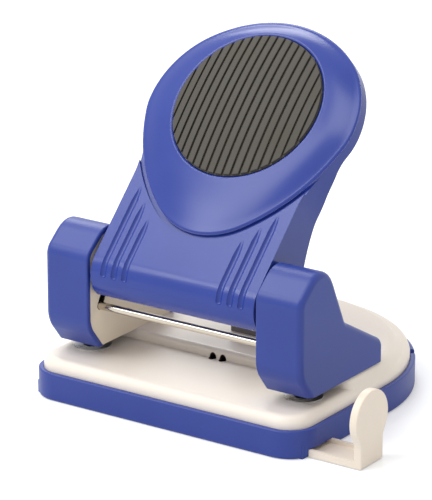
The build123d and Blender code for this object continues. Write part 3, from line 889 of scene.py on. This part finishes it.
def plateHoles():
    s = plateSet
    bm = bmesh.new()
    tilt = Matrix.Rotation(math.radians(s["sightTilt"]), 4, "X")
    for side in (1, -1):
        rod(bm, s["dieRadius"], s["holeDepth"], s["dieSegments"], Matrix.Identity(4),
            (side * s["dieX"], 0, s["table"]))
        rod(bm, s["sightRadius"], s["holeDepth"], s["sightSegments"], tilt,
            (side * s["sightX"], s["stepY"], s["table"]))
    return asObject(bm, "plateHoles")


def makePlate():
    plate = plateShape(0)
    hollowFoot(plate)
    plate = combine(plate, plateShape(plateSet["sheet"]), "DIFFERENCE")
    plate = combine(plate, plateHoles(), "DIFFERENCE")
    plate.name = "pressed_plate"
    settle(plate, creamPaint, "base", "base_plate")


springSet = {
    "axis": 40.0, "wire": 0.45, "wireSegments": 14, "coil": 4.15, "turns": 7, "turnSteps": 32,
    "travel": 8.4,
}


def makeSpring(side):
    s = springSet
    name = "right" if side > 0 else "left"
    low, high = [corner[2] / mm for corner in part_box(name + "_spring")]
    middle = side * s["axis"]
    bm = bmesh.new()
    ring = bmesh.ops.create_circle(bm, cap_ends=True, segments=s["wireSegments"],
                                   radius=s["wire"])["verts"]
    bmesh.ops.transform(bm, matrix=Matrix.Rotation(math.radians(90), 4, "X"), verts=ring)
    bmesh.ops.translate(bm, vec=(middle + s["coil"], 0, low + s["wire"]), verts=ring)
    steps = s["turns"] * s["turnSteps"]
    rise = (high - low - 2 * s["wire"]) / steps
    bmesh.ops.spin(bm, geom=bm.faces[:], cent=(middle, 0, 0), axis=(0, 0, 1), dvec=(0, 0, rise),
                   angle=math.radians(360 * s["turns"]), steps=steps)
    spring = asObject(bm, name + "_coil")
    settle(spring, groundSteel, "base", name + "_spring")
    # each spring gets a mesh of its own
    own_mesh(spring)


makeHandleBody()
makeHandleHead()
print("handle shaped")
makeGrip()
print("grip ribbed")
makeCover(1)
makeCover(-1)
print("columns covered")
makePlate()
print("plate pressed")
makeSpring(1)
makeSpring(-1)
print("springs wound")

cameraSet = {
    "place": (0.584111, -0.835461, 0.400820), "back": (0.5375, -0.7788, 0.3232), "lens": 252.0,
    "sensor": 36,
}


def makeCamera():
    s = cameraSet
    data = bpy.data.cameras.new("camera")
    data.sensor_fit = "VERTICAL"
    data.sensor_height = s["sensor"]
    data.lens = s["lens"]
    camera = bpy.data.objects.new("camera", data)
    camera.location = s["place"]
    camera.rotation_mode = "QUATERNION"
    camera.rotation_quaternion = (-Vector(s["back"])).to_track_quat("-Z", "Y")
    bpy.context.scene.collection.objects.link(camera)
    bpy.context.scene.camera = camera


lightAim = (0, 0.02, 0.05)
lights = [
    {"name": "softbox", "place": (-0.32, -0.52, 0.80), "aim": lightAim, "size": (0.48, 0.48),
     "power": 2.8},
    {"name": "frontSpot", "place": (-0.40, -0.54, 0.50), "aim": (0, 0.0, 0.06),
     "size": (0.20, 0.16), "power": 0.5},
    {"name": "browBox", "place": (-0.56, -0.14, 0.90), "aim": lightAim, "size": (0.34, 0.30),
     "power": 1.6},
    {"name": "backBox", "place": (-0.50, 0.56, 0.74), "aim": lightAim, "size": (0.46, 0.46),
     "power": 3.0},
    {"name": "topBox", "place": (0.04, -0.28, 1.05), "aim": lightAim, "size": (0.36, 0.36),
     "power": 1.5},
]


def makeLights():
    for light in lights:
        data = bpy.data.lights.new(light["name"], "AREA")
        data.shape = "RECTANGLE"
        data.size, data.size_y = light["size"]
        data.energy = light["power"]
        lamp = bpy.data.objects.new(light["name"], data)
        lamp.location = light["place"]
        way = Vector(light["aim"]) - Vector(light["place"])
        lamp.rotation_euler = way.to_track_quat("-Z", "Y").to_euler()
        bpy.context.scene.collection.objects.link(lamp)


# white where it is seen or mirrored, warmer and dimmer as the light that it gives
worldSet = {
    "given": 0.76, "seen": 1.0, "givenTint": (1.0, 0.93, 0.83, 1), "seenTint": (1, 1, 1, 1),
}


def makeWorld():
    s = worldSet
    world = bpy.data.worlds.new("studio")
    bpy.context.scene.world = world
    world.use_nodes = True
    nodes = world.node_tree.nodes
    links = world.node_tree.links
    background = nodes["Background"]
    rays = nodes.new("ShaderNodeLightPath").outputs
    seen = calc(nodes, links, "MAXIMUM", rays["Is Camera Ray"], rays["Is Glossy Ray"])
    seen = calc(nodes, links, "MAXIMUM", seen, rays["Is Transmission Ray"])
    level = nodes.new("ShaderNodeMapRange")
    level.inputs["To Min"].default_value = s["given"]
    level.inputs["To Max"].default_value = s["seen"]
    links.new(seen, level.inputs["Value"])
    links.new(level.outputs["Result"], background.inputs["Strength"])
    tint = nodes.new("ShaderNodeValToRGB")
    tint.color_ramp.elements[0].color = s["givenTint"]
    tint.color_ramp.elements[1].color = s["seenTint"]
    links.new(seen, tint.inputs["Fac"])
    links.new(tint.outputs["Color"], background.inputs["Color"])


# a faint glow, for the camera alone, lifts the floor to white and leaves its shadow
floorSet = {
    "size": 6.0, "colour": (0.82, 0.86, 0.92, 1), "rough": 0.9, "specular": 0.1,
    "glow": (0.25, 0.25, 0.25, 1),
}


def makeFloor():
    s = floorSet
    bm = bmesh.new()
    bmesh.ops.create_grid(bm, x_segments=1, y_segments=1, size=s["size"])
    floor = linked(bm, "floor")
    material, nodes, links, shader = newMaterial("paleFloor")
    shader.inputs["Base Color"].default_value = s["colour"]
    shader.inputs["Roughness"].default_value = s["rough"]
    shader.inputs["Specular IOR Level"].default_value = s["specular"]
    rays = nodes.new("ShaderNodeLightPath")
    links.new(rays.outputs["Is Camera Ray"], shader.inputs["Emission Strength"])
    shader.inputs["Emission Color"].default_value = s["glow"]
    floor.data.materials.append(material)


makeCamera()
makeLights()
makeWorld()
makeFloor()
bpy.context.scene.view_settings.view_transform = "Standard"
print("stage set")
